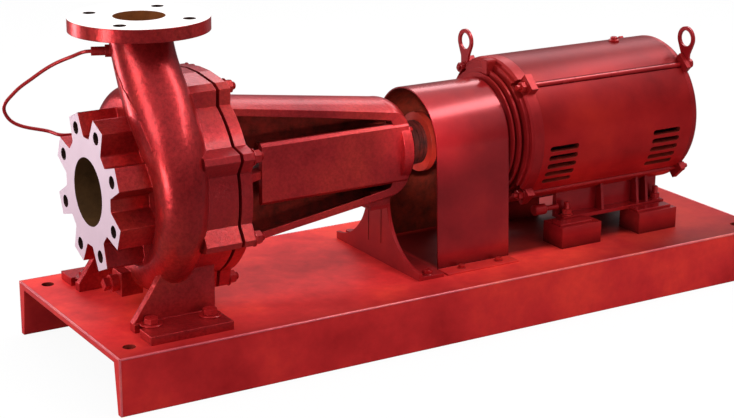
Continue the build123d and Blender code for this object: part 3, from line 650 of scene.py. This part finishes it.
def make_shims():
    """Thin levelling plates between the spacer blocks and the rails."""
    mesh = bmesh.new()
    for side in (-1, 1):
        for x0, x1 in ((781, 846), (942, 1014)):
            a = along(x0, side * 82.0, -150)
            b = along(x1, side * 104.0, -146.6)
            low = Vector((a.x, min(a.y, b.y), a.z))
            high = Vector((b.x, max(a.y, b.y), b.z))
            add_slab(mesh, low, high, 0.5 * mm)
    finish_piece("shim_plates", mesh, sheet_paint, fixed_body)


def make_bell_lug():
    """The squared lug that bridges the rings on top of the front end bell."""
    mesh = bmesh.new()
    add_slab(mesh, along(688, -16, 96), along(708, 2, 121), 1.6 * mm)
    finish_piece("bell_lug", mesh, bell_paint, fixed_body)


def make_top_plug():
    """The small plug on top of the motor shell."""
    mesh = bmesh.new()
    place = Matrix.Translation(along(958.9, 0, 121))
    rings = [circle(9 * mm, 0), circle(9 * mm, 4 * mm), circle(6 * mm, 5 * mm), circle(6 * mm, 8 * mm), circle(4.5 * mm, 9 * mm)]
    add_ring_stack(mesh, rings, place)
    finish_piece("top_plug", mesh, bolt_paint, fixed_body)


def make_rail_stubs():
    """Round plugs on thin stems at the front ends of the motor foot rails."""
    mesh = bmesh.new()
    for side in (-1, 1):
        place = Matrix.Translation(along(757, side * 60, -130)) @ turn_to((1, 0, 0))
        rings = [
            circle(7.5 * mm, 0),
            circle(9 * mm, 1.5 * mm),
            circle(9 * mm, 22 * mm),
            circle(7.5 * mm, 23.5 * mm),
            circle(4.5 * mm, 24 * mm),
            circle(4.5 * mm, 49 * mm),
        ]
        add_ring_stack(mesh, rings, place)
    finish_piece("rail_stubs", mesh, bell_paint, fixed_body)


def add_ridge(mesh, points, normal, width, height):
    """A low ridge lying on a surface along points, with its foot sunk into the surface."""
    normal = Vector(normal).normalized()
    rings = []
    for k, point in enumerate(points):
        ahead = points[min(k + 1, len(points) - 1)] - points[max(k - 1, 0)]
        side = normal.cross(ahead).normalized() * (width / 2)
        foot = point - normal * (1.5 * mm)
        top = point + normal * height
        rings.append([foot - side, foot + side, top + side * 0.6, top - side * 0.6])
    add_ring_stack(mesh, rings, Matrix.Identity(4))


def make_neck_seam():
    """The ragged casting seam down the suction side of the neck and the smooth bar below it."""
    mesh = bmesh.new()
    random.seed("neck_seam")
    path = [
        (42.7, -12, 182), (42.5, -25.1, 171.9), (41.9, -42.5, 158.0), (42.2, -58.1, 146.8),
        (43.4, -74.9, 135.8), (44.8, -88.0, 125.5),
    ]
    points = []
    for low, high in zip(path, path[1:]):
        for k in range(4):
            t = k / 4
            place = along(*(a + (b - a) * t for a, b in zip(low, high)))
            points.append(place + Vector((0, random.uniform(-1.3, 1.3) * mm, random.uniform(-1.3, 1.3) * mm)))
    add_ridge(mesh, points, (-0.96, -0.16, 0.16), 2.2 * mm, 1.0 * mm)
    bar = [along(44.6, -91.3, 120.5), along(46.1, -106.9, 102.2), along(48.9, -122.3, 82.3)]
    add_ridge(mesh, bar, (-0.92, -0.36, 0.18), 4.6 * mm, 2.0 * mm)
    finish_piece("neck_seam", mesh, cast_paint, fixed_body)


def make_foot_creases():
    """The two press creases down the web of the support foot, dark with painted shade."""
    mesh = bmesh.new()
    for y, top, low in ((24.9, -108, -160), (-13.1, -98, -155)):
        points = [along(491, y, top), along(491, y, (top + low) / 2), along(491, y, low)]
        add_ridge(mesh, points, (-1, 0, 0), 1.6 * mm, 0.7 * mm)
    finish_piece("foot_creases", mesh, recess_shade_paint, fixed_body)


def make_base_edge_highlights():
    """The rounded corners of the channel, along its top edges and round its ends, in a bright paint that is a painted
    highlight.
    """
    mesh = bmesh.new()
    radius = 1.9 * mm
    inset = 1.4 * mm
    low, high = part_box("baseplate")
    for y in (low.y + inset, high.y - inset):
        for z, length in ((high.z - inset, high.x - low.x - 2 * mm),):
            place = Matrix.Translation((low.x + 1 * mm, y, z)) @ turn_to((1, 0, 0))
            add_ring_stack(mesh, [circle(radius, 0, 12), circle(radius, length, 12)], place)
        for x in (low.x + inset, high.x - inset):
            place = Matrix.Translation((x, y, low.z + 1 * mm))
            height = high.z - low.z - 2 * mm
            add_ring_stack(mesh, [circle(radius, 0, 12), circle(radius, height, 12)], place)
    for x in (low.x + inset, high.x - inset):
        place = Matrix.Translation((x, low.y + 1 * mm, high.z - inset)) @ turn_to((0, 1, 0))
        width = high.y - low.y - 2 * mm
        add_ring_stack(mesh, [circle(radius, 0, 12), circle(radius, width, 12)], place)
    finish_piece("base_edge_highlights", mesh, edge_highlight_paint, fixed_body)


make_base_edge_highlights()
make_neck_seam()
make_foot_creases()
make_shims()
make_bell_lug()
make_top_plug()
make_rail_stubs()


# Floor, backdrop and light.
def make_stage():
    material, tree, shader = new_material("floor_white")
    output = tree.nodes["Material Output"]
    shader.inputs["Roughness"].default_value = 0.9
    path = tree.nodes.new("ShaderNodeLightPath")
    tone = ramp(tree, path.outputs["Is Camera Ray"], [(0.0, (0.16,) * 3), (1.0, (0.9,) * 3)])
    tree.links.new(tone, shader.inputs["Base Color"])
    mixed = tree.nodes.new("ShaderNodeMixShader")
    tree.links.new(shader.outputs["BSDF"], mixed.inputs[1])
    glow = tree.nodes.new("ShaderNodeEmission")
    glow.inputs["Strength"].default_value = 1.0
    tree.links.new(glow.outputs["Emission"], mixed.inputs[2])
    share = tree.nodes.new("ShaderNodeMath")
    share.operation = "MULTIPLY"
    share.inputs[1].default_value = 0.93
    tree.links.new(path.outputs["Is Camera Ray"], share.inputs[0])
    tree.links.new(share.outputs["Value"], mixed.inputs[0])
    tree.links.new(mixed.outputs["Shader"], output.inputs["Surface"])
    mesh = bmesh.new()
    bmesh.ops.create_grid(mesh, x_segments=8, y_segments=8, size=6.0)
    data = bpy.data.meshes.new("floor")
    mesh.to_mesh(data)
    mesh.free()
    data.materials.append(material)
    floor = bpy.data.objects.new("floor", data)
    floor.location = (0, 0, cad_low.z - 0.0005)
    bpy.context.scene.collection.objects.link(floor)


def add_lamp(name, place, aim, size, power, mirrored=True):
    data = bpy.data.lights.new(name, "AREA")
    data.shape = "RECTANGLE"
    data.size = size[0]
    data.size_y = size[1]
    data.energy = power
    lamp = bpy.data.objects.new(name, data)
    lamp.location = place
    lamp.visible_glossy = mirrored
    lamp.rotation_mode = "QUATERNION"
    lamp.rotation_quaternion = (Vector(aim) - Vector(place)).to_track_quat("-Z", "Y")
    bpy.context.scene.collection.objects.link(lamp)


def add_spot(name, place, aim, degrees, power):
    data = bpy.data.lights.new(name, "SPOT")
    data.energy = power
    data.spot_size = math.radians(degrees)
    data.spot_blend = 0.7
    data.shadow_soft_size = 0.03
    lamp = bpy.data.objects.new(name, data)
    lamp.location = place
    lamp.rotation_mode = "QUATERNION"
    lamp.rotation_quaternion = (Vector(aim) - Vector(place)).to_track_quat("-Z", "Y")
    bpy.context.scene.collection.objects.link(lamp)


def make_world():
    """White to the camera. To the object it is bright overhead and dark toward the floor."""
    world = bpy.data.worlds.new("studio")
    bpy.context.scene.world = world
    world.use_nodes = True
    tree = world.node_tree
    sky = tree.nodes["Background"]
    sky.inputs["Strength"].default_value = 1.0
    place = tree.nodes.new("ShaderNodeTexCoord")
    parts = tree.nodes.new("ShaderNodeSeparateXYZ")
    tree.links.new(place.outputs["Generated"], parts.inputs[0])
    height = tree.nodes.new("ShaderNodeMapRange")
    height.inputs["From Min"].default_value = -1.0
    tree.links.new(parts.outputs["Z"], height.inputs["Value"])
    glow = ramp(
        tree,
        height.outputs["Result"],
        [(0.0, (0.04,) * 3), (0.5, (0.13,) * 3), (0.62, (0.28,) * 3), (0.85, (1.0,) * 3)],
    )
    tree.links.new(glow, sky.inputs["Color"])
    white = tree.nodes.new("ShaderNodeBackground")
    white.inputs["Color"].default_value = (1, 1, 1, 1)
    white.inputs["Strength"].default_value = 1.0
    path = tree.nodes.new("ShaderNodeLightPath")
    mixed = tree.nodes.new("ShaderNodeMixShader")
    tree.links.new(path.outputs["Is Camera Ray"], mixed.inputs[0])
    tree.links.new(sky.outputs["Background"], mixed.inputs[1])
    tree.links.new(white.outputs["Background"], mixed.inputs[2])
    tree.links.new(mixed.outputs["Shader"], tree.nodes["World Output"].inputs["Surface"])


make_stage()
make_world()
# A long strip overhead draws the bright band along the guard and the motor, a panel behind
# lights their crowns, the key lights all that faces the suction end, a lamp low behind it
# draws the line along the left side of the neck and the flange rim, a small one before the
# coupling lights the inside of the guard, and a low one stands for light off the ground.
add_lamp("strip", (1.2, -0.56, 1.95), (0.2, -0.05, 0.35), (2.6, 0.34), 25)
add_lamp("panel", (1.0, 1.9, 1.7), (0.2, 0, 0.35), (3.0, 0.6), 17)
add_lamp("key", (-2.6, -0.3, 1.5), (-0.3, 0, 0.25), (1.0, 1.2), 24)
add_lamp("front", (-2.1, -0.36, 0.14), (-0.45, 0, 0.26), (0.5, 0.35), 10)
add_lamp("left", (-1.45, 1.35, 0.22), (-0.45, 0, 0.4), (0.4, 0.5), 8)
add_spot("inside", (-0.42, -0.72, 0.54), (0.035, -0.01, 0.285), 11, 52)
add_lamp("low", (0.95, -1.9, 0.06), (0.32, 0, 0.24), (2.0, 0.4), 21, False)

bpy.context.scene.view_settings.view_transform = "Standard"
